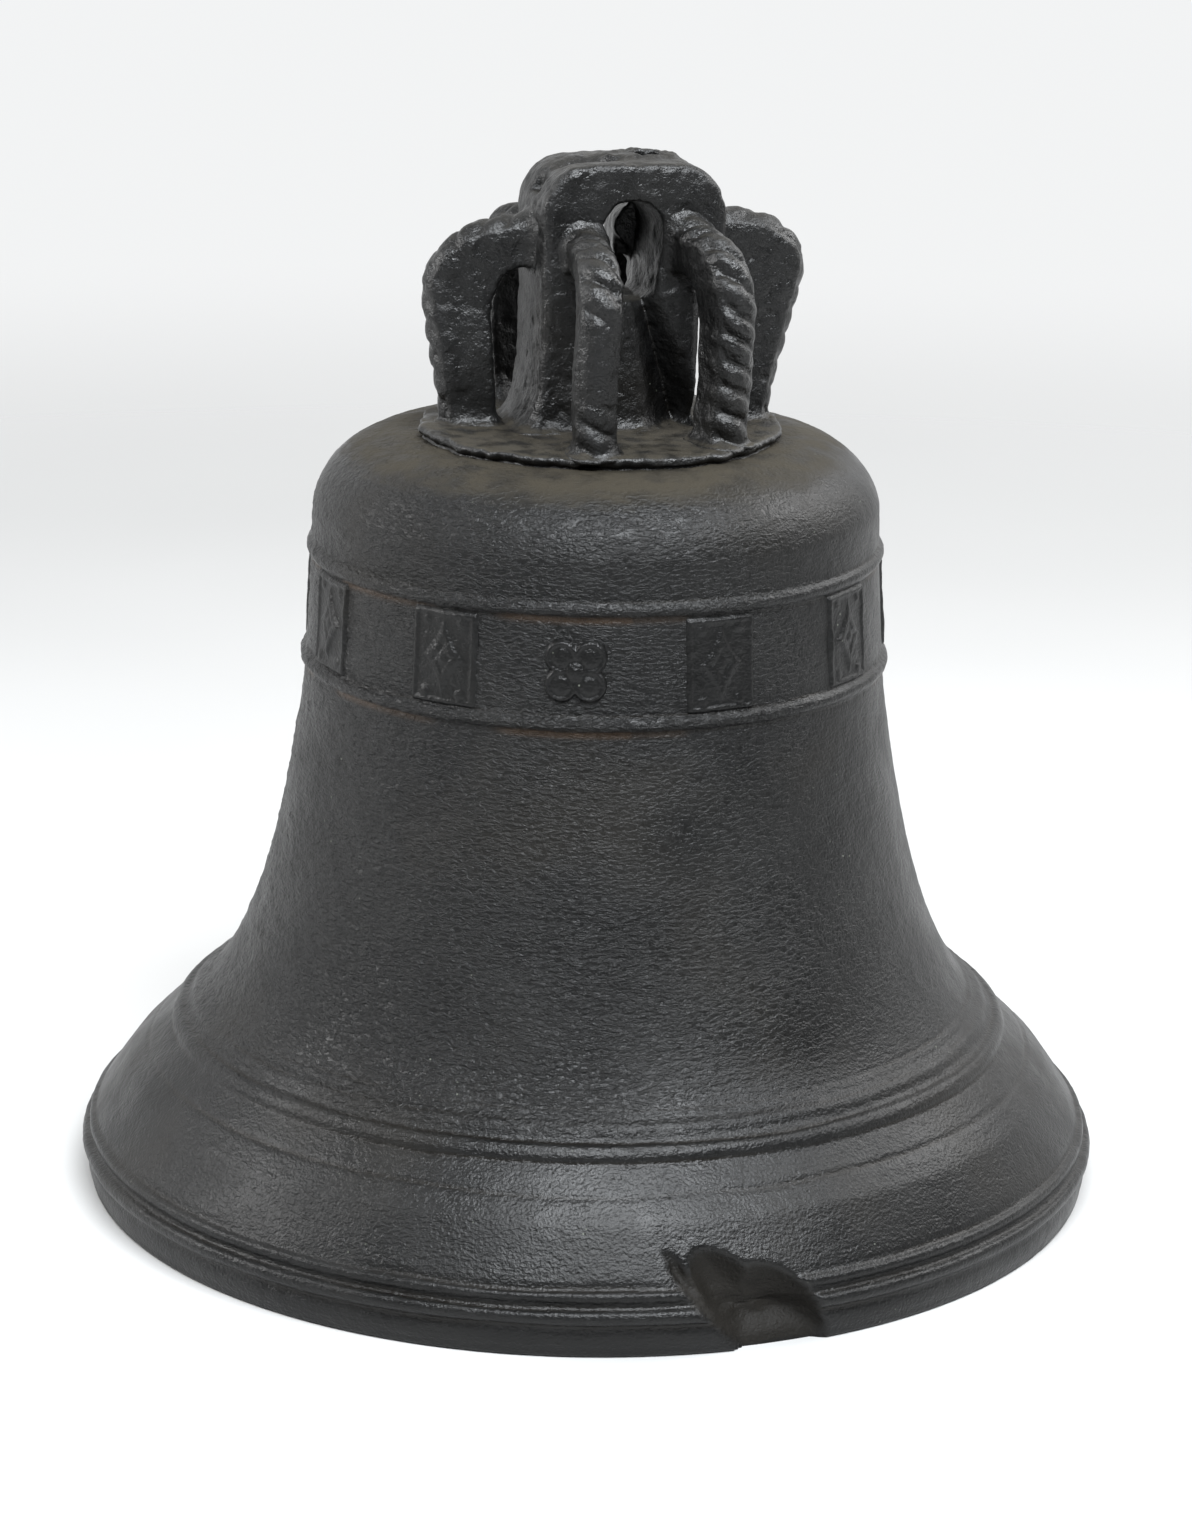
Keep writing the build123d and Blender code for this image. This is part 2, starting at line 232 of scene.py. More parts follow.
def outline_field(u, v, corners):
    """Signed distance in a plane to a closed outline, negative inside."""
    nearest = np.full(u.shape, 1e9)
    inside = np.zeros(u.shape, bool)
    for (au, av), (bu, bv) in zip(corners, corners[1:] + corners[:1]):
        eu, ev = bu - au, bv - av
        t = np.clip(((u - au) * eu + (v - av) * ev) / (eu * eu + ev * ev), 0, 1)
        nearest = np.minimum(nearest, np.hypot(u - au - t * eu, v - av - t * ev))
        if av != bv:
            inside ^= ((av > v) != (bv > v)) & (u < eu * (v - av) / ev + au)
    return np.where(inside, -nearest, nearest)


def path_field(u, v, path):
    """Distance to an open path, signed (positive to its right), and how far along it."""
    nearest = np.full(u.shape, 1e9)
    side = np.zeros(u.shape)
    along = np.zeros(u.shape)
    run = 0.0
    for (au, av), (bu, bv) in zip(path, path[1:]):
        eu, ev = bu - au, bv - av
        length = math.hypot(eu, ev)
        t = np.clip(((u - au) * eu + (v - av) * ev) / length**2, 0, 1)
        away = np.hypot(u - au - t * eu, v - av - t * ev)
        closer = away < nearest
        nearest = np.where(closer, away, nearest)
        side = np.where(closer, np.sign(ev * (u - au) - eu * (v - av)), side)
        along = np.where(closer, run + t * length, along)
        run += length
    return nearest * side, along

CORNER_STEPS = 6  # points on each rounded corner


def rounded_corners(points, radius):
    """The same open path with its corners turned into short curves."""
    points = [np.array(p, float) for p in points]
    made = [tuple(points[0])]
    for before, here, after in zip(points, points[1:], points[2:]):
        near, far = np.linalg.norm(before - here), np.linalg.norm(after - here)
        size = min(radius, 0.45 * near, 0.45 * far)
        lead, tail = (before - here) / near, (after - here) / far
        for t in np.linspace(0, 1, CORNER_STEPS):
            made.append(tuple(here + (1 - t) ** 2 * size * lead + t**2 * size * tail))
    return made + [tuple(points[-1])]


def inset_path(points, distance):
    """An open path moved sideways to its left."""
    points = [np.array(p, float) for p in points]
    lefts = []
    for a, b in zip(points, points[1:]):
        run = (b - a) / np.linalg.norm(b - a)
        lefts.append(np.array((-run[1], run[0])))
    made = [points[0] + lefts[0] * distance]
    for i in range(1, len(points) - 1):
        both = lefts[i - 1] + lefts[i]
        made.append(points[i] + both * distance / (1 + lefts[i - 1] @ lefts[i]))
    made.append(points[-1] + lefts[-1] * distance)
    return [tuple(p) for p in made]


# ---------------- shell

COLUMNS = 760  # round the shell
OUTER_STEP = 1.9  # between rows on the outside
INNER_STEP = 6.0
HIDDEN_R = 100.0  # inside this radius the crown plate covers the head
SECTION_AZIMUTH = 167.3  # where the CAD shell is cut: behind the bell, clear of the damage
SECTION_STEP = 0.4  # between points along the section
SOFTEN = 1.3  # how far the casting's edges are rounded off
MOULDING_BLUR = 11.0  # a reach that smooths the mouldings away
REST_R = 325.0  # middle of the flat ring that the bell rests on
LIP_R = 322.0  # outside this the resting edge is chipped

# worn grooves cut in the mouldings: height, depth, half width
GROOVES = [
    (427.2, 0.9, 1.3),
    (416.7, 1.1, 1.2),
    (357.0, 0.6, 1.0),
    (346.2, 1.0, 1.3),
    (127.6, 1.1, 1.1),
    (121.8, 0.8, 1.0),
    (112.8, 1.9, 1.5),
    (102.6, 1.2, 1.3),
    (87.6, 1.0, 1.6),
    (43.0, 1.8, 1.9),
    (32.6, 1.6, 1.7),
    (20.0, 1.4, 1.7),
]

RUSTY_GROOVES = (416.7, 346.2)

# the damaged lip: azimuth and height of each hollow, half width, half length down the section,
# how far it leans to the right as it goes down, and depth
SCOOPS = [
    (5.4, 25.0, 27.0, 46.0, 0.55, 22.0),
    (8.6, 23.0, 27.0, 38.0, 0.35, 24.0),
    (-0.2, 37.0, 6.5, 32.0, 0.60, 7.5),
]

# the inside of the CAD shell by the damage: heights, and radius at each
INNER_WALL = ([0, 15, 52, 108], [321, 298, 267, 239])
LEAST_METAL = 2.0  # what the damage leaves of the wall


def welded(node):
    """The node's CAD mesh with its doubled points joined."""
    bm = bmesh.new()
    bm.from_mesh(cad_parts[node].data)
    bmesh.ops.remove_doubles(bm, verts=bm.verts, dist=1e-6)
    return bm


def half_section(node):
    """(radius, height) of the node's section, from the top of the axis outside to the inside."""
    outward = heading(SECTION_AZIMUTH)
    across = Vector((0, 0, 1)).cross(outward)
    bm = welded(node)
    everything = bm.verts[:] + bm.edges[:] + bm.faces[:]
    cut = bmesh.ops.bisect_plane(bm, geom=everything, plane_co=(0, 0, 0), plane_no=across)
    beside = {}
    for edge in cut["geom_cut"]:
        if isinstance(edge, bmesh.types.BMEdge):
            one, other = edge.verts
            beside.setdefault(one, []).append(other)
            beside.setdefault(other, []).append(one)
    start = max(beside, key=lambda v: (round(v.co.z, 5), -abs(v.co.dot(outward))))
    ways = []
    for first in beside[start]:
        way, last, here = [start], start, first
        while here is not start and here is not None:
            way.append(here)
            onward = [v for v in beside[here] if v is not last]
            last, here = here, (onward[0] if onward else None)
        ways.append([(v.co.dot(outward) / MM, v.co.z / MM) for v in way])
    bm.free()
    way = max(ways, key=lambda points: points[min(8, len(points) - 1)][0])
    # keeps the first unbroken run on this side of the axis
    stop = next((i for i, p in enumerate(way) if i > 3 and p[0] < 0.5), len(way))
    half = [p for p in way[:stop] if p[0] > 0.5]
    return np.array([(0.0, half[0][1])] + half + [(0.0, half[-1][1])])


def arc_length(points):
    steps = np.hypot(*np.diff(points, axis=0).T)
    return np.concatenate([[0], np.cumsum(steps)])


def resampled(points):
    """The same path with its points SECTION_STEP apart."""
    length = arc_length(points)
    even = np.arange(0, length[-1], SECTION_STEP)
    return np.stack([np.interp(even, length, points[:, i]) for i in (0, 1)], 1)


def blurred(path, reach, tails):
    """A resampled path with its corners rounded off over a reach, weighed out to tails reaches."""
    half = int(tails * reach / SECTION_STEP)
    weights = np.exp(-0.5 * (np.arange(-half, half + 1) * SECTION_STEP / reach) ** 2)
    padded = np.pad(path, ((half, half), (0, 0)), mode="reflect", reflect_type="odd")
    sides = [np.convolve(padded[:, i], weights / weights.sum(), "valid") for i in (0, 1)]
    return np.stack(sides, 1)


section = blurred(resampled(half_section("bell_shell")), SOFTEN, 4)
section_length = arc_length(section)
corner = int(np.argmin(section[:, 1] + (section[:, 0] < REST_R) * 1000))  # rest's outer edge
outer_z = section[:corner, 1][::-1]
outer_r = section[:corner, 0][::-1]
outer_s = section_length[:corner][::-1]


def outer_radius(z):
    """The shell's outer radius at a height below the head."""
    return np.interp(z, outer_z, outer_r)


def outer_place(z):
    """How far along the section the outside reaches a height."""
    return float(np.interp(z, outer_z, outer_s))


def row_positions():
    """Where the rows lie along the section: dense outside, sparse under the plate and inside."""
    hidden = float(np.interp(HIDDEN_R, section[: corner // 2, 0], section_length[: corner // 2]))
    outside = section_length[corner]
    inner_end = section_length[-1]
    return np.concatenate([
        np.linspace(0.5, hidden, 12, endpoint=False),
        np.arange(hidden, outside + 12, OUTER_STEP),
        np.arange(outside + 14, inner_end - 2, INNER_STEP),
    ])


def unevenness(x, y, z):
    """Slow swell of the cast surface, shared by the shell and what is cast on it."""
    return 0.55 * noise(x, y, z, 130, 3) + 0.35 * noise(x, y, z, 42, 5)


def wrinkle_strength(x, y, z):
    """Where the loam's wrinkles show: most on the waist's left, least low on the right."""
    azimuth = np.degrees(np.arctan2(x, -y))
    leftness = 0.5 - 0.5 * np.tanh((azimuth + 2) / 28)
    leftness = np.where(np.abs(azimuth) > 120, 0.55, leftness)
    patches = 0.5 + 0.5 * noise(x, y, z, 70, 11)
    waist = smoothstep(95, 150, z) * (0.55 + 0.45 * smoothstep(470, 430, z))
    return (0.3 + 0.7 * leftness) * (0.4 + 0.9 * patches) * (0.2 + 0.8 * waist)


def wrinkles(x, y, z):
    squeezed = 2.3 * z + 3.0 * noise(x, y, z, 30, 21)
    fine = layered(x, y, squeezed, 9.5, 3, 31, fall=0.6)
    return fine * np.abs(fine) * 1.6 + 0.5 * fine


def scoop_depth(x, y, place):
    """How far the damage reaches below the surface, at a place along the section."""
    deepest = np.zeros(x.shape)
    azimuth = np.arctan2(x, -y)
    for middle, height, half_width, half_length, lean, depth in SCOOPS:
        down = place - outer_place(height)
        across = (azimuth - math.radians(middle)) * outer_radius(height) - lean * down
        edge = 2.5 * layered(x, y, down, 16, 3, 191)
        share = np.hypot((across + edge) / half_width, (down + edge) / half_length)
        hollow = depth * np.maximum(1 - share**2, 0) ** 0.7
        deepest = np.where(np.maximum(deepest, hollow) > 0, smooth_max(deepest, hollow, 2.5), 0)
    return np.maximum(deepest, 0)


def build_shell():
    rows = row_positions()
    ring_r = np.interp(rows, section_length, section[:, 0])
    ring_z = np.interp(rows, section_length, section[:, 1])
    tangent = np.gradient(np.stack([ring_r, ring_z], 1), rows, axis=0)
    tangent /= np.linalg.norm(tangent, axis=1)[:, None]
    angle = np.arange(COLUMNS) * 2 * math.pi / COLUMNS
    sin, cos = np.sin(angle)[None], -np.cos(angle)[None]
    r, z = ring_r[:, None] + 0 * sin, ring_z[:, None] + 0 * sin
    x, y = r * sin, r * cos
    out_r, out_z = -tangent[:, 1][:, None], tangent[:, 0][:, None]
    nx, ny, nz = out_r * sin, out_r * cos, out_z + 0 * sin

    outer_end = section_length[corner]
    outside = (rows <= outer_end)[:, None] * smoothstep(0, 6, z)
    inside = (rows > outer_end + 10)[:, None] * 1.0
    push = outside * unevenness(x, y, z)
    wrinkled = wrinkle_strength(x, y, z)
    push += outside * 0.62 * wrinkled * wrinkles(x, y, z)
    push += outside * 0.16 * noise(x, y, z, 5.5, 71)
    push += inside * (0.9 * noise(x, y, z, 60, 81) + 0.4 * noise(x, y, z * 0.4, 18, 82))
    push -= outside * 0.9 * (1 - smoothstep(30, 60, z))  # the lip keeps inside its greatest size

    groove = np.zeros(x.shape)
    place = rows[:, None]
    for i, (height, depth, half_width) in enumerate(GROOVES):
        middle = outer_place(height)
        wander = 0.9 * noise(x, y, 0 * z, 55, 100 + i) + 0.45 * noise(x, y, 0 * z, 17, 120 + i)
        worn = 0.72 + 0.42 * noise(x, y, 0 * z, 80, 140 + i)
        shape = np.exp(-(((place - middle - wander) / half_width) ** 2))
        groove = np.maximum(groove, shape * worn)
        push -= depth * worn * shape * (place <= outer_end)
    groove *= place <= outer_end

    # chips along the edge that the bell rests on
    chips = smoothstep(0.25, 0.62, noise(x, y, 0 * z, 15, 161))
    chips = chips * smoothstep(-0.1, 0.4, noise(x, y, 0 * z, 90, 162))
    low = np.exp(-(z / 4.0) ** 2) * (r > LIP_R)
    push -= 2.2 * chips * low * (place <= outer_end + 8)

    # inside the damage the mouldings give way to the plain body, which is then hollowed
    depth = scoop_depth(x, y, place) * (place <= outer_end)
    damage = smoothstep(0.3, 6, depth)
    plain = blurred(section[:corner], MOULDING_BLUR, 3)
    way = np.gradient(plain, axis=0)
    way /= np.linalg.norm(way, axis=1)[:, None]
    plain_r, plain_z, down_r, down_z = (
        np.interp(rows, section_length[:corner], values)[:, None]
        for values in (plain[:, 0], plain[:, 1], -way[:, 1], way[:, 0])
    )
    gone = smoothstep(0.0, 3.5, depth)
    lumps = 1.5 * layered(x, y, z, 10, 3, 175) * smoothstep(0.5, 5, depth)
    wall = np.interp(z, *INNER_WALL) + LEAST_METAL
    cut = np.minimum(depth, np.maximum(r - wall, 0)) - lumps
    push = push * (1 - gone)
    base_r = r + (plain_r - r) * gone - cut * down_r
    base_z = z + (plain_z - z) * gone - cut * down_z
    x = base_r * sin + nx * push
    y = base_r * cos + ny * push
    z = np.maximum(base_z + nz * push, 0)

    points = np.stack([x, y, z], -1).reshape(-1, 3)
    points = np.concatenate([points, [(0, 0, section[0, 1]), (0, 0, section[-1, 1])]])
    shell = make_mesh("shell_casting", points, closed_rings(len(rows), COLUMNS))
    azimuth = np.degrees(np.arctan2(x, -y))
    by_bead = np.zeros(x.shape)
    for height in RUSTY_GROOVES:
        beside = np.exp(-(((place - outer_place(height)) / 1.9) ** 2))
        by_bead = np.maximum(by_bead, beside * (place <= outer_end))
    streaks = smoothstep(-0.25, 0.45, noise(x, y, 0 * z, 38, 181))
    rust = by_bead * streaks * np.where(np.abs(azimuth + 55) < 50, 0.8, 0.35)
    masks = {"groove": groove, "rust": rust, "damage": damage, "wrinkled": wrinkled}
    for name, values in masks.items():
        set_mask(shell, name, np.concatenate([values.ravel(), [0, 0]]))
    return shell


# ---------------- relief cast on the band

BAND_LOW_Z, BAND_HIGH_Z = 361.7, 410.7  # clear of the wires above and below
PATCH_STEP = 0.8
PATCH_BACK = -2.5  # how far a patch reaches into the metal


def band_radius(z):
    """Radius of the plain cone between the band's wires."""
    low, high = outer_radius(BAND_LOW_Z), outer_radius(BAND_HIGH_Z)
    return low + (high - low) * (z - BAND_LOW_Z) / (BAND_HIGH_Z - BAND_LOW_Z)


def node_parts(node):
    """Azimuth, height, half width and half height of each solid of a node on the band."""
    bm = welded(node)
    unseen = set(bm.verts)
    found = []
    while unseen:
        stack = [unseen.pop()]
        part = []
        while stack:
            vert = stack.pop()
            part.append(np.array(vert.co) / MM)
            for edge in vert.link_edges:
                other = edge.other_vert(vert)
                if other in unseen:
                    unseen.remove(other)
                    stack.append(other)
        part = np.array(part)
        middle = part.mean(0)
        azimuth = math.degrees(math.atan2(middle[0], -middle[1]))
        away = np.degrees(np.arctan2(part[:, 0], -part[:, 1])) - azimuth
        away = np.abs((away + 180) % 360 - 180)
        low, high = part[:, 2].min(), part[:, 2].max()
        width = math.radians(away.max()) * band_radius((low + high) / 2)
        found.append((azimuth, (low + high) / 2, width, (high - low) / 2))
    bm.free()
    return sorted(found)


def plaque_height(u, v, half_u, half_v, seed):
    """A tile with a thin raised rim, a lozenge with hollow sides, and pellets round it."""
    edge = rounded_pair(np.abs(u) - half_u, np.abs(v) - half_v, 3.0)
    tile = -1.4 + 2.1 * smoothstep(1.2, -1.6, edge)
    rim = 1.3 * np.exp(-(((edge + 3.0) / 1.5) ** 2))
    lozenge = (np.abs(u) / 15.0) ** 0.8 + (np.abs(v) / 25.0) ** 0.8
    raised = 1.7 * smoothstep(1.04, 0.78, lozenge) - 0.9 * smoothstep(0.62, 0.4, lozenge)
    raised += 1.3 * np.exp(-((u / 3.4) ** 2 + (v / 4.2) ** 2))
    for side_u in (-1, 1):
        for side_v in (-1, 1):
            away = np.hypot(u - 12.5 * side_u, v - 22.5 * side_v)
            raised += 1.2 * smoothstep(4.4, 1.2, away)
    worn = 0.85 + 0.3 * noise(u, v, 0 * u, 16, seed)
    rough = 0.22 * noise(u, v, 0 * u, 4.5, seed + 1) + 0.3 * noise(u, v, 0 * u, 13, seed + 2)
    return tile + (rim + raised) * worn * smoothstep(0, -2, edge) + rough


def stop_height(u, v, half_u, half_v, seed):
    """A small quatrefoil with a boss."""
    offset, lobe = 0.44 * half_u, 0.56 * half_u
    away = np.full(u.shape, 1e9)
    for side_u in (-1, 1):
        for side_v in (-1, 1):
            corner_away = np.hypot(u - offset * side_u, v - offset * side_v) - lobe
            away = smooth_min(away, corner_away, 1.5)
    away = smooth_min(away, np.hypot(u, v) - lobe, 1.5)
    raised = -1.4 + 4.0 * smoothstep(0.8, -2.4, away)
    dip = 0.9 * np.exp(-(((away + 4.6) / 1.5) ** 2))
    boss = 0.9 * np.exp(-((u**2 + v**2) / 3.2**2))
    return raised - dip + boss + 0.25 * noise(u, v, 0 * u, 6, seed)


def build_relief(name, node, height):
    """Every solid of a band node as a worn relief patch, closed behind the shell's face."""
    points, faces, start = [], [], 0
    for number, (azimuth, middle, half_u, half_v) in enumerate(node_parts(node)):
        u, v = np.meshgrid(
            np.arange(-half_u - 2, half_u + 2, PATCH_STEP),
            np.arange(-half_v - 2, half_v + 2, PATCH_STEP),
            indexing="ij",
        )
        z = middle + v
        base = band_radius(z)
        turn = math.radians(azimuth) + u / base
        lifted = height(u, v, half_u, half_v, 300 + 10 * number)
        sheets = []
        for proud in (lifted, PATCH_BACK + 0 * u):
            swell = unevenness(base * np.sin(turn), -base * np.cos(turn), z)
            r = base + proud + swell
            sheets.append(np.stack([r * np.sin(turn), -r * np.cos(turn), z], -1).reshape(-1, 3))
        points += sheets
        across, up = u.shape
        index = np.arange(across * up).reshape(across, up) + start
        behind = index + across * up
        a, b, c, d = index[:-1, :-1], index[1:, :-1], index[1:, 1:], index[:-1, 1:]
        faces.append(np.stack([a, b, c, d], -1).reshape(-1, 4))
        back = [part + across * up for part in (a, d, c, b)]
        faces.append(np.stack(back, -1).reshape(-1, 4))
        border, deep = (
            np.concatenate([sheet[:-1, 0], sheet[-1, :-1], sheet[:0:-1, -1], sheet[0, :0:-1]])
            for sheet in (index, behind)
        )
        faces.append(np.stack([border, deep, np.roll(deep, -1), np.roll(border, -1)], 1))
        start += 2 * across * up
    return make_mesh(name, np.concatenate(points), np.concatenate(faces))


# ---------------- crown

NET_STEP = 1.3
plate_low, plate_high = node_box("crown_plate")
argent_low, argent_high = node_box("argent")
PLATE_TOP = plate_high[2]
CROWN_TOP = argent_high[2]
CROWN_SINK = 3.6  # how far the crown's castings go down into the plate
FOOT_SPREAD = 11.0  # of the argent's sides where they meet the plate
OVERHANG = 15.0  # of the argent's top beyond its right side
ARGENT_WEST = argent_low[0] + FOOT_SPREAD
ARGENT_EAST = argent_high[0] - OVERHANG
ARGENT_FRONT, ARGENT_REAR = argent_low[1], argent_high[1]
EYE_X, EYE_HALF, EYE_SILL, EYE_SPRING = 16.0, 20.0, 584.0, 626.0
EYE_NARROWS = 0.8  # how much narrower its right half is at the rear
SPRUE_X, SPRUE_Y, SPRUE_R = 24.0, 10.0, 15.0
PLATE_COLUMNS = 420
RIM_INSET = 2.5  # of the plate's sound edge from the CAD plate's, for its flash
PLATE_ASIDE = 2.2  # the plate lies this far to the right of the bell's axis
ROPE_R = 14.0
STRAND_PITCH = 16.5  # along the rope from one strand to the next
SIDE_INSET = 6.5  # of a canon's flat sides from the rope's outer face
KNEE_UP = 96.0  # a canon's knee starts this far above the plate
CANON_HALF_DEPTH = 18.0
CANON_HALF_WIDTH = 13.0
ARM_LOW, ARMPIT_Z = 603.0, 577.0  # heights of the inner face


def roughened(field, point, strength, seed):
    """The field with the lumps and pits of a coarse casting added close to its surface."""
    near = np.abs(field) < 5
    x, y, z = (p[near] for p in point)
    lumps = 0.9 * noise(x, y, z, 34, seed) + 0.8 * noise(x, y, z, 13, seed + 1)
    pits = layered(x, y, z, 6, 2, seed + 2)
    bumps = lumps * 0.6 + 0.65 * pits + 1.0 * np.maximum(pits - 0.2, 0)
    made = field.copy()
    made[near] += strength * (bumps + 0.25)
    return made


def argent_field(point):
    """The thick central loop: block, eye, valley below the eye, notched ends and broken sprue."""
    x, y, z = point
    spread = FOOT_SPREAD * np.exp(-(z - PLATE_TOP) / 17)
    depth = np.clip((y - ARGENT_FRONT) / (ARGENT_REAR - ARGENT_FRONT), 0, 1)
    west = ARGENT_WEST + 5 * (1 - depth) - spread
    east = ARGENT_EAST + 0.8 + OVERHANG * smoothstep(594, 622, z)
    east = east - 3.5 * smoothstep(600, PLATE_TOP, z) - 3 * depth * smoothstep(594, 622, z)
    crest = CROWN_TOP - 4.5 - 3.5 * ((x - 12) / 60) ** 2
    shoulder = rounded_pair(np.maximum(west - x, x - east), z - crest, 30)
    middle_y, half_y = (ARGENT_FRONT + ARGENT_REAR) / 2, (ARGENT_REAR - ARGENT_FRONT) / 2
    field = rounded_pair(shoulder, np.abs(y - middle_y) - half_y - 0.25 * spread, 7)
    # two ridges along the top with a shallow trough between them
    trough = 7.0 * np.exp(-(((y - 2) / 9) ** 2)) * smoothstep(40, 8, x)
    field = smooth_max(field, z - (crest - trough), 3)
    sprue = np.hypot((x - SPRUE_X) / 1.5, y - SPRUE_Y) - SPRUE_R - 3.0 * noise(x, y, 0 * z, 12, 400)
    rugged = 3.6 * layered(x, y, 0 * z, 11, 3, 401)
    crust = smooth_max(sprue, np.abs(z - (CROWN_TOP - 9)) - 7.0 - rugged, 6)
    field = smooth_min(field, crust, 6)
    hole = np.hypot((x - 30) / 1.4, y - 2) - 5.4 - 1.6 * noise(x, y, z, 6, 404)
    field = smooth_max(field, -np.maximum(hole, CROWN_TOP - 19 - z), 1.2)

    arch = [(EYE_X + EYE_HALF * math.cos(t), EYE_SPRING + EYE_HALF * math.sin(t))
            for t in np.linspace(0, math.pi, 13)]
    arch += [(EYE_X - EYE_HALF + 6, EYE_SILL + 4), (EYE_X - 8, EYE_SILL), (EYE_X + 8, EYE_SILL),
             (EYE_X + EYE_HALF - 6, EYE_SILL + 4)]
    narrowed = np.where(x > EYE_X, 1 + EYE_NARROWS * depth, 1.0)
    eye = outline_field(EYE_X + (x - EYE_X) * narrowed, z, arch)
    field = smooth_max(field, -eye, 4)

    below = np.clip((EYE_SILL + 6 - z) / (EYE_SILL + 6 - PLATE_TOP), 0, 1)
    for face, facing, drift in ((ARGENT_FRONT, 1, 26.0), (ARGENT_REAR, -1, 0.0)):
        centre = EYE_X + 5 + drift * below
        half = 9 + 12 * below
        deep = (9 + 15 * below) * smoothstep(0, 0.06, below)
        bed = deep * (1 - np.abs(x - centre) / half)
        slope = np.sqrt(1 + (deep / half) ** 2)
        field = smooth_max(field, (bed - facing * (y - face)) / slope, 4)
    for end_x in (ARGENT_WEST, ARGENT_EAST + OVERHANG):
        notch = box_field(point, (end_x, middle_y, CROWN_TOP - 8), (13, 9, 19), 4)
        field = smooth_max(field, -notch, 4)
    return field


# each canon: how far the knee's outer corner stands out beyond the foot and its height, place and
# height of the knee's upper corner, height of the arm's top, whether its rope is worn plain along
# the leg, how much of the rope's relief is left, the fillet at its foot, and its noise
CANONS = {
    "canon_front_left": ((3.0, 598.0), (-2.0, 625.0), 631.0, True, 1.0, 9, 600),
    "canon_front_right": ((6.0, 600.0), (-2.0, 631.0), 637.0, False, 1.0, 9, 620),
    "canon_right": ((30.0, 612.0), (15.0, 636.0), 640.0, False, 0.35, 9, 640),
    "canon_rear_right": ((3.0, 600.0), (-2.0, 631.0), 637.0, False, 0.8, 10, 660),
    "canon_rear_left": ((6.0, 600.0), (-2.0, 631.0), 637.0, True, 0.8, 20, 680),
    "canon_left": ((17.0, 600.0), (2.0, 631.0), 637.0, False, 0.45, 9, 700),
}


def canon_frame(node):
    """Middle of the canon's foot, its way outwards, and how far in the arm reaches."""
    flat = np.array([v.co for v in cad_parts[node].data.vertices], float) / MM
    foot = flat[flat[:, 2] < PLATE_TOP + 0.5][:, :2]
    middle = (foot.min(0) + foot.max(0)) / 2
    corners = np.unique(np.round(foot - foot.mean(0), 1), axis=0)
    middle = foot.mean(0) if len(corners) <= 4 else middle
    values, ways = np.linalg.eigh(np.cov(corners.T))
    out = ways[:, int(np.argmax(values))]
    out = out if out @ (middle - np.array((7.0, 4.0))) > 0 else -out
    reach = (flat[:, :2] - middle) @ out
    return middle, out, reach.min()


def cast_piece(name, field, point, strength, seed, under_top):
    """A rough mesh of a field, sunk into the plate and kept under the crown's top."""
    field = roughened(field, point, strength, seed)
    field = np.maximum(field, PLATE_TOP - CROWN_SINK - point[2])
    points, faces = surface_net(field, [p.min() for p in point], NET_STEP)
    points[:, 2] = np.minimum(points[:, 2], CROWN_TOP - under_top)
    return make_mesh(name, points, faces)


def canon_piece(node, knee_corner, knee_top, arm_top, plain, relief, foot_fillet, seed):
    """A canon: flat-sided leg and arm with a rope moulding up its outer face."""
    middle, out, inner = canon_frame(node)
    stand_out, knee_z = knee_corner
    low, high = node_box(node)
    low, high = low - 14, high + 14
    low[2], high[2] = PLATE_TOP - 5, high[2] - 4
    point = grid(low, high, NET_STEP)
    x, y, z = point
    u = (x - middle[0]) * out[0] + (y - middle[1]) * out[1]
    w = -(x - middle[0]) * out[1] + (y - middle[1]) * out[0]
    arm = inner - 8
    outer_face = [(CANON_HALF_DEPTH, PLATE_TOP - 8), (CANON_HALF_DEPTH + stand_out, knee_z),
                  knee_top, (arm, arm_top)]
    inner_face = [(arm, ARM_LOW), (-CANON_HALF_DEPTH - 5, ARM_LOW - 2),
                  (5 - CANON_HALF_DEPTH, ARMPIT_Z), (-CANON_HALF_DEPTH, PLATE_TOP - 8)]
    bend = 2.2 * noise(0 * z, 0 * z, z, 60, seed) * smoothstep(PLATE_TOP, PLATE_TOP + 40, z)
    w = w + bend
    side = rounded_corners(inset_path(outer_face, SIDE_INSET), 18) + rounded_corners(inner_face, 12)
    body = rounded_pair(outline_field(u, z, side), np.abs(w) - CANON_HALF_WIDTH, 3.5)
    away, along = path_field(u, z, rounded_corners(inset_path(outer_face, ROPE_R), 14))
    phase = (along + 0.55 * w + 3.0 * noise(x, y, z, 40, seed + 3)) * math.pi / STRAND_PITCH
    strand = np.abs(np.cos(phase)) ** 0.75
    knee = PLATE_TOP + KNEE_UP
    kept = np.ones(z.shape)
    if plain:
        by_foot = 0.6 * smoothstep(PLATE_TOP + 44, PLATE_TOP + 26, z)
        kept = np.maximum(smoothstep(knee - 18, knee - 6, z), by_foot)
    kept = kept * (0.85 + 0.25 * noise(x, y, z, 30, seed + 5)) * smoothstep(arm + 12, arm + 22, u)
    swell = ROPE_R - 0.6 + relief * kept * (1.1 * strand - 4.6 * (1 - strand))
    rope = np.hypot(away, w) - swell
    canon = smooth_min(body, rope * 0.92, 1.4)
    field = smooth_min(canon, z - PLATE_TOP + 0.6, foot_fillet)
    field = np.maximum(field, canon - 0.62 * foot_fillet)
    block = argent_field(point) + 0.6
    collar = np.maximum(smooth_min(canon, block, 9), canon - 5.5)
    field = np.minimum(field, collar)
    return cast_piece(node + "_cast", field, point, 0.85, seed + 7, 0.2)


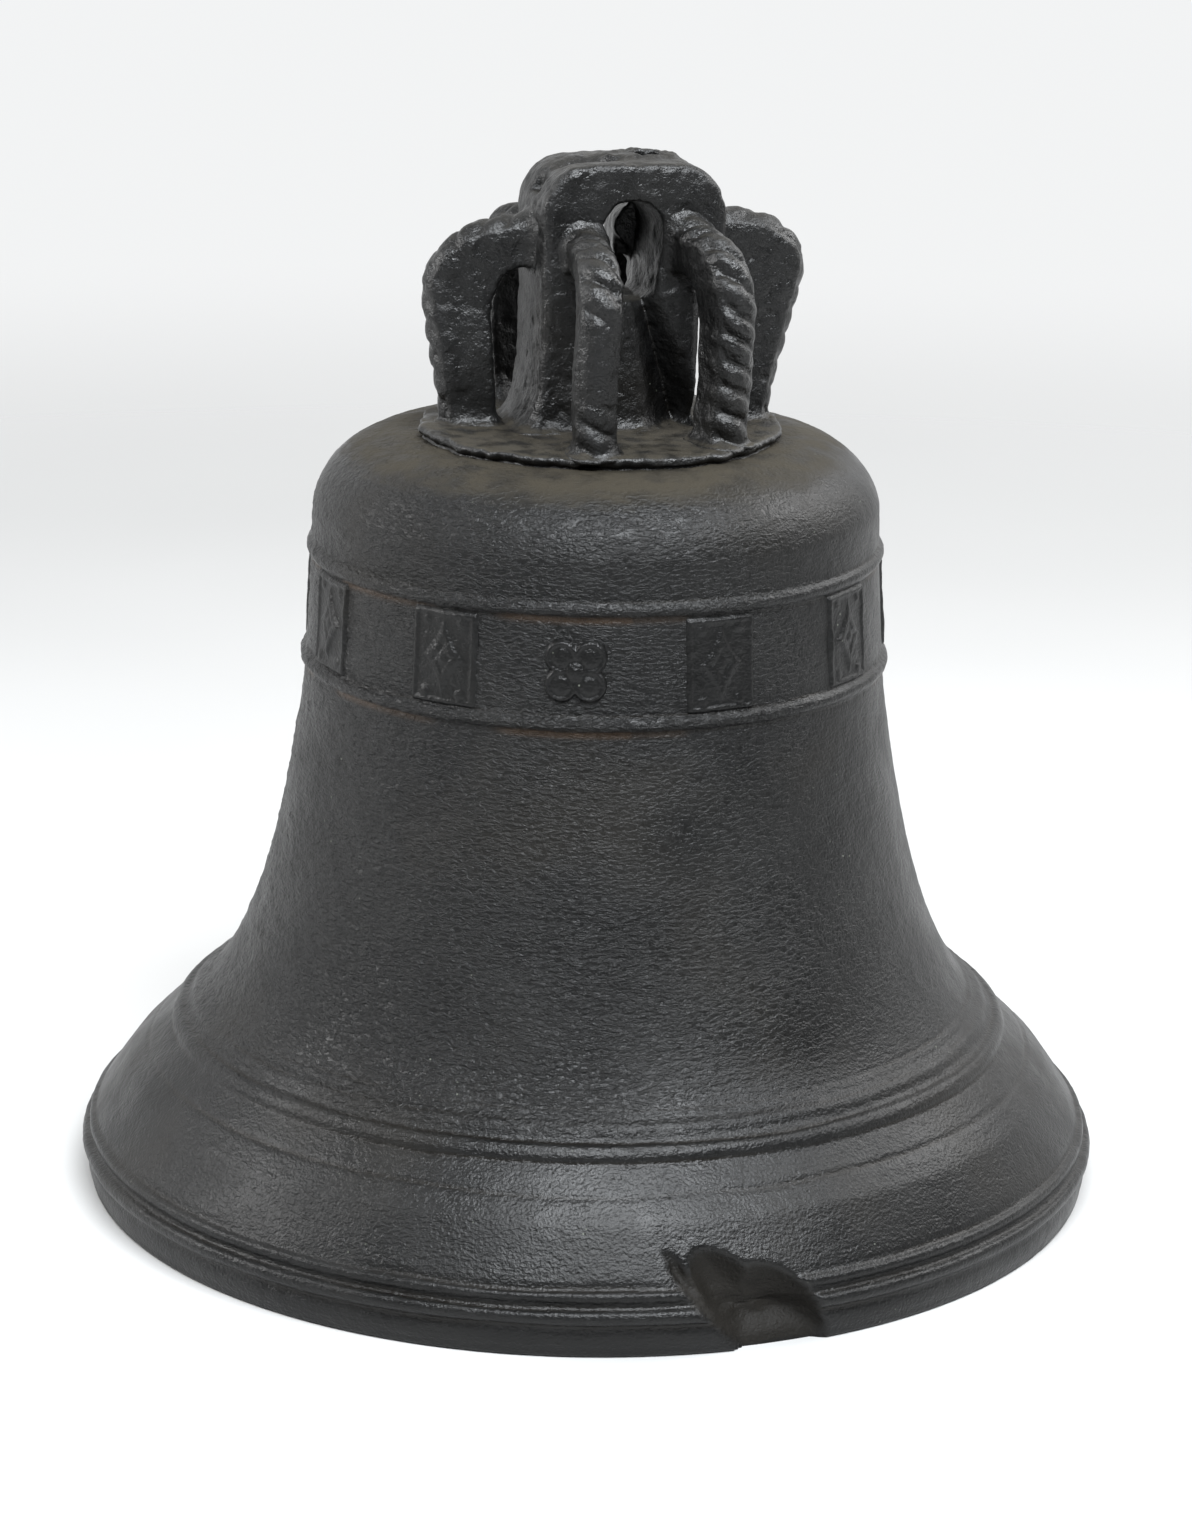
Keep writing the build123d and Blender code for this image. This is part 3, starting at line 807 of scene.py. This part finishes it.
def argent_piece():
    low = np.array(argent_low) - 10
    high = np.array(argent_high) + 10
    low[2] = PLATE_TOP - 6
    point = grid(low, high, NET_STEP)
    field = argent_field(point)
    foot = smooth_min(field, point[2] - PLATE_TOP + 0.6, 11)
    field = np.maximum(foot, field - 6.5)
    return cast_piece("argent_cast", field, point, 1.0, 421, 0.1)


def crown_plate_piece():
    """The round plate, with a torn flash round its edge and a groove under it."""
    angle = np.arange(PLATE_COLUMNS) * 2 * math.pi / PLATE_COLUMNS
    rim = plate_high[0] - RIM_INSET
    top, bed = PLATE_TOP, plate_low[2]
    # each ring's distance in from the rim and its height, from the top's middle to the underside
    rings = [(rim - r, top) for r in np.arange(3, rim - 4, 2.2)]
    rings += [(3.4, top), (1.8, top - 0.3), (0.6, top - 1.0), (0, top - 2.2), (0.1, top - 3.6),
              (0.8, top - 4.8), (2.2, top - 5.8), (3.4, top - 6.6), (3.6, top - 7.4), (3.0, bed),
              (2.6, bed - 1.0), (2.6, bed - 3)]
    inward = np.array([a for a, _ in rings])[:, None]
    z = np.array([b for _, b in rings])[:, None] + 0 * angle
    sin, cos = np.sin(angle)[None], -np.cos(angle)[None]
    x0, y0 = rim * sin, rim * cos
    ragged = 3.0 * layered(x0, y0, 0 * x0, 26, 3, 501) + 2.6 * noise(x0, y0, 0 * x0, 8, 503)
    torn = smoothstep(0.1, 0.5, noise(x0, y0, 0 * x0, 22, 505))
    edge_share = smoothstep(14, 0, inward)
    under = (np.arange(len(rings)) > len(rings) - 8)[:, None]
    r = rim - inward - edge_share * (1.2 - ragged + 1.4 * torn * (1 - under))
    r = np.maximum(r, 0.2)
    x, y = r * sin + PLATE_ASIDE * (r / rim), r * cos
    upper = z > top - 3.0
    lumps = 0.5 * layered(x, y, 0 * z, 16, 3, 511) + 0.35 * noise(x, y, 0 * z, 60, 513) - 0.3
    by_rim = 0.6 * noise(x, y, 0 * z, 6, 515) + 0.7 * noise(x, y, 0 * z, 15, 516)
    z = z + upper * lumps
    z = z + by_rim * smoothstep(9, 1, inward)
    points = np.stack([x, y, z], -1).reshape(-1, 3)
    middle = points[:PLATE_COLUMNS, 2].mean()
    points = np.concatenate([points, [(0, 0, middle), (0, 0, bed - 3)]])
    return make_mesh("crown_plate_cast", points, closed_rings(len(rings), PLATE_COLUMNS))


# ---------------- materials

class Finish:
    """A material's node tree, built from short calls."""

    def __init__(self, name, roughness, metallic=0.0, specular=0.5):
        self.material = bpy.data.materials.new(name)
        self.material.use_nodes = True
        self.tree = self.material.node_tree
        self.surface = self.tree.nodes["Principled BSDF"]
        self.surface.inputs["Metallic"].default_value = metallic
        self.surface.inputs["Roughness"].default_value = roughness
        self.surface.inputs["Specular IOR Level"].default_value = specular
        self.place = self.tree.nodes.new("ShaderNodeTexCoord").outputs["Object"]
        self.bump = None

    def node(self, kind, **settings):
        made = self.tree.nodes.new(kind)
        for key, value in settings.items():
            setattr(made, key, value)
        return made

    def feed(self, socket, value):
        """Links a socket to a node's output, or sets its number or colour."""
        if isinstance(value, bpy.types.NodeSocket):
            self.tree.links.new(value, socket)
        elif socket.type == "RGBA":
            socket.default_value = (*value, 1)
        else:
            socket.default_value = value

    def stretched(self, scale):
        mapping = self.node("ShaderNodeMapping")
        self.feed(mapping.inputs["Vector"], self.place)
        mapping.inputs["Scale"].default_value = scale
        return mapping.outputs["Vector"]

    def noise(self, size_mm, detail=3.0, where=None, distortion=0.0):
        """Noise from 0 to 1 whose bumps are about size_mm across."""
        made = self.node("ShaderNodeTexNoise")
        self.feed(made.inputs["Vector"], where or self.place)
        made.inputs["Scale"].default_value = 1 / (size_mm * MM)
        made.inputs["Detail"].default_value = detail
        made.inputs["Distortion"].default_value = distortion
        return made.outputs["Fac"]

    def cells(self, size_mm, feature="F1", where=None):
        made = self.node("ShaderNodeTexVoronoi", feature=feature)
        self.feed(made.inputs["Vector"], where or self.place)
        made.inputs["Scale"].default_value = 1 / (size_mm * MM)
        return made.outputs["Distance"]

    def ramp(self, value, low, high, to_low=0.0, to_high=1.0):
        made = self.node("ShaderNodeMapRange", interpolation_type="SMOOTHSTEP")
        self.feed(made.inputs["Value"], value)
        names = ("From Min", "From Max", "To Min", "To Max")
        for name, number in zip(names, (low, high, to_low, to_high)):
            made.inputs[name].default_value = number
        return made.outputs["Result"]

    def maths(self, operation, a, b):
        made = self.node("ShaderNodeMath", operation=operation, use_clamp=True)
        self.feed(made.inputs[0], a)
        self.feed(made.inputs[1], b)
        return made.outputs[0]

    def mixed(self, share, a, b):
        made = self.node("ShaderNodeMix", data_type="RGBA")
        for index, value in ((0, share), (6, a), (7, b)):
            self.feed(made.inputs[index], value)
        return made.outputs[2]

    def mask(self, name):
        return self.node("ShaderNodeAttribute", attribute_name=name).outputs["Fac"]

    def geometry(self, name):
        return self.node("ShaderNodeNewGeometry").outputs[name]

    def vertical(self, vector):
        split = self.node("ShaderNodeSeparateXYZ")
        self.feed(split.inputs[0], vector)
        return split.outputs[2]

    def upward(self):
        return self.vertical(self.geometry("Normal"))

    def height(self):
        """Height above the lip, in metres."""
        return self.vertical(self.place)

    def add_bump(self, height, depth_mm):
        made = self.node("ShaderNodeBump")
        made.inputs["Distance"].default_value = depth_mm * MM
        self.feed(made.inputs["Height"], height)
        if self.bump is not None:
            self.feed(made.inputs["Normal"], self.bump)
        self.bump = made.outputs["Normal"]

    def finish(self, colour, roughness=None):
        self.feed(self.surface.inputs["Base Color"], colour)
        if roughness is not None:
            self.feed(self.surface.inputs["Roughness"], roughness)
        if self.bump is not None:
            self.feed(self.surface.inputs["Normal"], self.bump)
        return self.material


WAXED_SHELL, WAXED_CROWN = 0.34, 0.48  # how strongly the dark wax shines
BLACK_PATINA = (0.0024, 0.0024, 0.0024)
GREY_PATINA = (0.0062, 0.0062, 0.0060)
BROWN_PATINA = (0.0120, 0.0095, 0.0060)
DUST = (0.0290, 0.0240, 0.0150)
# painted shade: the darker brown that the shell's grooves and the crown's hollows are coloured with
GROOVE_SHADE = (0.0050, 0.0038, 0.0024)
GOUGE_DIRT = (0.0050, 0.0036, 0.0016)
RUST = (0.0600, 0.0340, 0.0170)
PALE_SPECK = (0.1300, 0.1400, 0.1150)
# pale grey of the crown's sharp edges: partly wear, partly a painted highlight
EDGE_WEAR_AND_HIGHLIGHT = (0.0700, 0.0710, 0.0700)
LEATHER_DARK, LEATHER_LIGHT = (0.040, 0.018, 0.009), (0.105, 0.052, 0.026)
LEATHER_WORN = (0.20, 0.12, 0.07)
OAK_DARK, OAK_LIGHT = (0.075, 0.042, 0.020), (0.19, 0.115, 0.06)
FLOOR_DARK, FLOOR_LIGHT = (0.54, 0.538, 0.532), (0.57, 0.568, 0.562)
FLOOR_R = 4.0
FLOOR_FADE = (0.9, 3.6)  # metres from the axis
SHOULDER_Z = (0.44, 0.47)  # metres: dust lies on the shell from here up
CROWN_DUST_Z = (0.53, 0.58)  # metres: it thins out between these


def patina(made):
    """Dark bronze skin: two greys clouded together, browner in places, with a few pale specks."""
    cloud = made.ramp(made.noise(70, 5), 0.35, 0.68)
    colour = made.mixed(cloud, BLACK_PATINA, GREY_PATINA)
    tinge = made.ramp(made.noise(150, 3), 0.52, 0.72, 0.0, 0.35)
    colour = made.mixed(tinge, colour, BROWN_PATINA)
    speck = made.ramp(made.cells(9), 0.085, 0.05)
    sparse = made.ramp(made.noise(60, 2), 0.56, 0.66)
    return made.mixed(made.maths("MULTIPLY", speck, sparse), colour, PALE_SPECK)


def shell_finish():
    made = Finish("black_bronze_shell", 0.42, specular=WAXED_SHELL)
    colour = patina(made)
    groove = made.mask("groove")
    # painted shade: the grooves are coloured darker and browner, standing for the shade that falls
    # in them
    colour = made.mixed(made.ramp(groove, 0.15, 0.8, 0.0, 0.85), colour, GROOVE_SHADE)
    colour = made.mixed(made.mask("rust"), colour, RUST)
    colour = made.mixed(made.maths("MULTIPLY", made.mask("damage"), 0.9), colour, GOUGE_DIRT)
    level = made.ramp(made.upward(), 0.72, 0.985)
    dusty = made.maths("MULTIPLY", level, made.ramp(made.height(), *SHOULDER_Z))
    patchy = made.ramp(made.noise(26, 5), 0.25, 0.62, 0.25, 1.0)
    dust = made.maths("MULTIPLY", dusty, patchy)
    colour = made.mixed(dust, colour, DUST)
    sheen = made.ramp(made.noise(38, 4), 0.3, 0.7, 0.34, 0.45)
    torn = made.maths("MULTIPLY", made.mask("damage"), 0.3)
    duller = made.maths("MAXIMUM", made.maths("MULTIPLY", dust, 0.4), torn)
    roughness = made.maths("ADD", sheen, duller)
    squeezed = made.stretched((1, 1, 2.6))
    ripples = made.ramp(made.noise(5.2, 4, squeezed, 0.5), 0.36, 0.72)
    share = made.ramp(made.mask("wrinkled"), 0.05, 0.75, 0.12, 1.0)
    made.add_bump(made.maths("MULTIPLY", ripples, share), 0.95)
    made.add_bump(made.noise(1.8, 2), 0.5)
    made.add_bump(made.ramp(made.cells(5.0), 0.0, 0.35), 0.2)
    return made.finish(colour, roughness)


def crown_finish():
    made = Finish("black_bronze_crown", 0.46, specular=WAXED_CROWN)
    colour = patina(made)
    # painted highlight: sharp convex edges are lightened towards pale grey, partly for wear and
    # partly for the light they catch
    edge = made.ramp(made.geometry("Pointiness"), 0.53, 0.62, 0.0, 0.45)
    colour = made.mixed(edge, colour, EDGE_WEAR_AND_HIGHLIGHT)
    # painted shade: hollows, where the surface curves inward, are coloured darker and browner,
    # standing for the shade in them
    hollow = made.ramp(made.geometry("Pointiness"), 0.485, 0.42, 0.0, 0.8)
    colour = made.mixed(hollow, colour, GROOVE_SHADE)
    dusty = made.ramp(made.upward(), 0.66, 0.98)
    patchy = made.ramp(made.noise(14, 5), 0.3, 0.62, 0.15, 0.95)
    settled = made.ramp(made.height(), *CROWN_DUST_Z, 1.0, 0.3)
    dust = made.maths("MULTIPLY", made.maths("MULTIPLY", dusty, patchy), settled)
    colour = made.mixed(dust, colour, DUST)
    sheen = made.ramp(made.noise(16, 4), 0.3, 0.7, 0.30, 0.48)
    roughness = made.maths("ADD", sheen, made.maths("MULTIPLY", dust, 0.4))
    made.add_bump(made.noise(4.0, 4), 1.1)
    made.add_bump(made.noise(1.2, 2), 0.4)
    made.add_bump(made.ramp(made.cells(4.0), 0.0, 0.4), 0.2)
    return made.finish(colour, roughness)


def iron_finish(name, dark, rust, roughness):
    made = Finish(name, roughness, 0.55)
    share = made.ramp(made.noise(9, 6), 0.42, 0.66)
    colour = made.mixed(share, dark, rust)
    made.add_bump(made.noise(2.2, 5), 0.5)
    made.add_bump(made.cells(11, "SMOOTH_F1"), 0.8)
    rough = made.ramp(made.noise(12, 4), 0.3, 0.7, roughness - 0.12, roughness + 0.2)
    return made.finish(colour, rough)


def leather_finish():
    made = Finish("old_leather", 0.6)
    colour = made.mixed(made.ramp(made.noise(22, 5), 0.3, 0.7), LEATHER_DARK, LEATHER_LIGHT)
    worn = made.ramp(made.geometry("Pointiness"), 0.52, 0.6, 0.0, 0.6)
    colour = made.mixed(worn, colour, LEATHER_WORN)
    made.add_bump(made.cells(1.6, "DISTANCE_TO_EDGE"), 0.25)
    made.add_bump(made.noise(6, 4), 0.5)
    return made.finish(colour, made.ramp(made.noise(18, 3), 0.3, 0.7, 0.45, 0.72))


def wood_finish():
    made = Finish("busk_oak", 0.65)
    grain = made.stretched((7, 7, 0.35))
    colour = made.mixed(made.ramp(made.noise(9, 6, grain, 0.6), 0.3, 0.7), OAK_DARK, OAK_LIGHT)
    made.add_bump(made.noise(5, 4, grain), 0.4)
    return made.finish(colour)


def floor_finish():
    """Pale floor that thins out to nothing well away from the bell."""
    made = Finish("pale_floor", 0.75)
    colour = made.mixed(made.ramp(made.noise(900, 2), 0.3, 0.7), FLOOR_DARK, FLOOR_LIGHT)
    made.add_bump(made.noise(4, 3), 0.05)
    away = made.node("ShaderNodeVectorMath", operation="LENGTH")
    made.feed(away.inputs[0], made.place)
    fade = made.ramp(away.outputs["Value"], *FLOOR_FADE, 1.0, 0.0)
    made.feed(made.surface.inputs["Alpha"], fade)
    return made.finish(colour)


def dress(piece, material):
    piece.data.materials.clear()
    piece.data.materials.append(material)


# ---------------- the bell's pieces

bronze_shell = shell_finish()
bronze_crown = crown_finish()


def stands_for(piece, nodes, body, material):
    dress(piece, material)
    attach(piece, body)
    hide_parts(*nodes)


stands_for(build_shell(), ["bell_shell"], "bell", bronze_shell)
for name, node, height in (
    ("plaques_cast", "band_plaques", plaque_height),
    ("stops_cast", "band_stops", stop_height),
):
    piece = build_relief(name, node, height)
    stands_for(piece, [node], "bell", bronze_shell)
stands_for(crown_plate_piece(), ["crown_plate"], "bell", bronze_crown)
stands_for(argent_piece(), ["argent"], "bell", bronze_crown)
for canon, numbers in CANONS.items():
    stands_for(canon_piece(canon, *numbers), [canon], "bell", bronze_crown)

# ---------------- the clapper and its hanging

dark_iron = iron_finish("forged_iron", (0.035, 0.032, 0.030), (0.115, 0.052, 0.026), 0.55)
fastener_iron = iron_finish("fastener_iron", (0.06, 0.055, 0.05), (0.13, 0.065, 0.035), 0.5)
for material, nodes in (
    (dark_iron, ("crown_staple", "clapper_shank", "clapper_ball")),
    (fastener_iron, ("baldric_bolt", "bolt_washers", "bolt_key")),
    (leather_finish(), ("baldric",)),
    (wood_finish(), ("busk_board",)),
):
    for node in nodes:
        dress(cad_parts[node], material)

# ---------------- stage, light and camera


def disc(name, radius):
    mesh = bpy.data.meshes.new(name)
    bm = bmesh.new()
    bmesh.ops.create_circle(bm, cap_ends=True, radius=radius, segments=96)
    bm.to_mesh(mesh)
    bm.free()
    return placed(name, mesh)


floor = disc("floor", FLOOR_R)
dress(floor, floor_finish())

# the camera: degrees, metres, and the lens in millimetres
VIEW_AZIMUTH = -12.0
VIEW_DOWN = 16.42
VIEW_ROLL = -0.85
VIEW_DISTANCE = 2.636
VIEW_ASIDE = -0.009
VIEW_HEIGHT = 1.047
LENS = 98.4

camera = placed("camera", bpy.data.cameras.new("camera"))
camera.data.sensor_width = 36
camera.data.lens = LENS
camera.data.clip_end = 100
camera.location = heading(VIEW_AZIMUTH) * VIEW_DISTANCE + heading(VIEW_AZIMUTH + 90) * VIEW_ASIDE
camera.location.z = VIEW_HEIGHT
camera.rotation_euler = [math.radians(turn) for turn in (90 - VIEW_DOWN, VIEW_ROLL, VIEW_AZIMUTH)]
bpy.context.scene.camera = camera

# the world's strength from behind the bell (0) to the viewer's side (1)
WORLD_STRENGTH = [(0.0, 1.10), (0.3, 0.80), (0.5, 0.38), (0.75, 0.13), (1.0, 0.09)]
BACKDROP_STRENGTH = 0.905  # of the world where the camera sees it
ROOM_WHITE = (0.985, 0.995, 1.0)
COOL_WHITE = (0.93, 0.965, 1.0)
LIT_Z = 0.3  # the lights face the bell's axis at this height


def softbox(name, azimuth, distance, height, width, tall, power, colour=(1, 1, 1)):
    light = placed(name, bpy.data.lights.new(name, "AREA"))
    light.data.shape = "RECTANGLE"
    light.data.size = width
    light.data.size_y = tall
    light.data.energy = power
    light.data.color = colour
    light.location = heading(azimuth) * distance + Vector((0, 0, height))
    aim = Vector((0, 0, LIT_Z)) - light.location
    light.rotation_euler = aim.to_track_quat("-Z", "Y").to_euler()


softbox("top_box", VIEW_AZIMUTH + 14, 1.9, 3.05, 2.9, 1.1, 240, COOL_WHITE)
softbox("right_box", VIEW_AZIMUTH + 110, 2.2, 2.0, 1.7, 1.1, 44)
softbox("left_box", VIEW_AZIMUTH - 84, 2.3, 1.4, 1.0, 0.9, 38)


def studio_world():
    """A pale room, brightest behind and above, dim on the side that the bell is looked at from."""
    world = bpy.data.worlds.new("studio")
    world.use_nodes = True
    new, link = world.node_tree.nodes.new, world.node_tree.links.new
    background = world.node_tree.nodes["Background"]
    bpy.context.scene.world = world
    across = new("ShaderNodeVectorMath")
    across.operation = "DOT_PRODUCT"
    link(new("ShaderNodeTexCoord").outputs["Generated"], across.inputs[0])
    across.inputs[1].default_value = heading(VIEW_AZIMUTH)
    spread = new("ShaderNodeMapRange")
    link(across.outputs["Value"], spread.inputs["Value"])
    spread.inputs["From Min"].default_value = -1
    dim = new("ShaderNodeValToRGB")
    link(spread.outputs["Result"], dim.inputs["Fac"])
    while len(dim.color_ramp.elements) < len(WORLD_STRENGTH):
        dim.color_ramp.elements.new(0.5)
    for stop, (place, strength) in zip(dim.color_ramp.elements, WORLD_STRENGTH):
        stop.position = place
        stop.color = (strength, strength, strength, 1)
    pick = new("ShaderNodeMix")
    link(new("ShaderNodeLightPath").outputs["Is Camera Ray"], pick.inputs[0])
    link(dim.outputs["Color"], pick.inputs[2])
    pick.inputs[3].default_value = BACKDROP_STRENGTH
    link(pick.outputs[0], background.inputs["Strength"])
    background.inputs["Color"].default_value = (*ROOM_WHITE, 1)


studio_world()
bpy.context.scene.view_settings.view_transform = "Standard"
